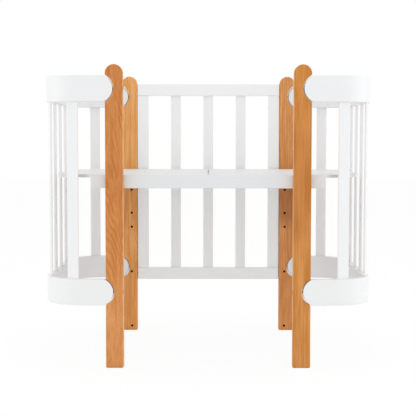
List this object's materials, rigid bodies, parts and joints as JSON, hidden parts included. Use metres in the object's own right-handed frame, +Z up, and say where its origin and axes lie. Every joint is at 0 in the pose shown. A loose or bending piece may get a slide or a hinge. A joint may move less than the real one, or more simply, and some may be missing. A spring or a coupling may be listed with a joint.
{
  "type": "convertible crib",
  "caption": "Oval crib with its front side off: notched flat wooden posts, bent white end bows with upright slats, a slatted back panel and a base that bolts at several heights",
  "frame": {"origin": "on the floor, under the middle of the crib", "axes": "+X along the crib's length to the right seen from the open front, +Y from the open front to the slatted back, +Z up"},
  "size_m": [0.952, 0.624, 0.87],
  "materials": {
    "beech": "clear satin lacquer on warm orange-brown beech with fine straight grain",
    "white_lacquer": "satin white lacquer on wood, faint grain",
    "white_board": "white faced fibreboard, matt, raw grey-brown edge",
    "bare_beech": "unfinished turned dowel",
    "zinc_steel": "dark zinc plated, satin"
  },
  "bodies": {
    "stand": {"post_front_left": "beech", "post_front_right": "beech", "post_back_left": "beech", "post_back_right": "beech", "bow_top_left": "white_lacquer", "bow_top_right": "white_lacquer", "bow_bottom_left": "white_lacquer", "bow_bottom_right": "white_lacquer", "end_slat_left_1": "white_lacquer", "end_slat_left_2": "white_lacquer", "end_slat_left_3": "white_lacquer", "end_slat_left_4": "white_lacquer", "end_slat_left_5": "white_lacquer", "end_slat_left_6": "white_lacquer", "end_slat_left_7": "white_lacquer", "end_slat_right_1": "white_lacquer", "end_slat_right_2": "white_lacquer", "end_slat_right_3": "white_lacquer", "end_slat_right_4": "white_lacquer", "end_slat_right_5": "white_lacquer", "end_slat_right_6": "white_lacquer", "end_slat_right_7": "white_lacquer", "panel_top_rail": "white_lacquer", "panel_bottom_rail": "white_lacquer", "panel_stile_left": "white_lacquer", "panel_stile_right": "white_lacquer", "panel_slat_1": "white_lacquer", "panel_slat_2": "white_lacquer", "panel_slat_3": "white_lacquer", "panel_dowel_top_left": "bare_beech", "panel_dowel_bottom_left": "bare_beech", "panel_dowel_top_right": "bare_beech", "panel_dowel_bottom_right": "bare_beech", "bow_bolt_top_front_left": "zinc_steel", "bow_bolt_top_back_left": "zinc_steel", "bow_bolt_top_front_right": "zinc_steel", "bow_bolt_top_back_right": "zinc_steel", "bow_bolt_bottom_front_left": "zinc_steel", "bow_bolt_bottom_back_left": "zinc_steel", "bow_bolt_bottom_front_right": "zinc_steel", "bow_bolt_bottom_back_right": "zinc_steel", "bow_insert_top_front_left": "zinc_steel", "bow_insert_top_back_left": "zinc_steel", "bow_insert_top_front_right": "zinc_steel", "bow_insert_top_back_right": "zinc_steel", "bow_insert_bottom_front_left": "zinc_steel", "bow_insert_bottom_back_left": "zinc_steel", "bow_insert_bottom_front_right": "zinc_steel", "bow_insert_bottom_back_right": "zinc_steel"},
    "base": {"base_front_rail": "white_lacquer", "base_back_rail": "white_lacquer", "base_end_rail_left": "white_lacquer", "base_centre_rail": "white_lacquer", "base_end_rail_right": "white_lacquer", "mattress_board_left": "white_board", "mattress_board_right": "white_board"},
    "bolt_front_left": {"base_bolt_front_left": "zinc_steel"},
    "bolt_front_right": {"base_bolt_front_right": "zinc_steel"},
    "bolt_back_left": {"base_bolt_back_left": "zinc_steel"},
    "bolt_back_right": {"base_bolt_back_right": "zinc_steel"}
  },
  "joints": [
    {"name": "base_height", "type": "slide", "parent": "stand", "child": "base", "axis": [0, 0, 1], "range_m": [-0.3325, 0]},
    {"name": "bolt_front_left_travel", "type": "slide", "parent": "base", "child": "bolt_front_left", "axis": [0, -1, 0], "range_m": [0, 0.017]},
    {"name": "bolt_front_right_travel", "type": "slide", "parent": "base", "child": "bolt_front_right", "axis": [0, -1, 0], "range_m": [0, 0.017]},
    {"name": "bolt_back_left_travel", "type": "slide", "parent": "base", "child": "bolt_back_left", "axis": [0, 1, 0], "range_m": [0, 0.017]},
    {"name": "bolt_back_right_travel", "type": "slide", "parent": "base", "child": "bolt_back_right", "axis": [0, 1, 0], "range_m": [0, 0.017]}
  ],
  "couplings": [
    {"joint": "bolt_front_right_travel", "follows": "bolt_front_left_travel", "ratio": 1},
    {"joint": "bolt_back_left_travel", "follows": "bolt_front_left_travel", "ratio": 1},
    {"joint": "bolt_back_right_travel", "follows": "bolt_front_left_travel", "ratio": 1}
  ]
}
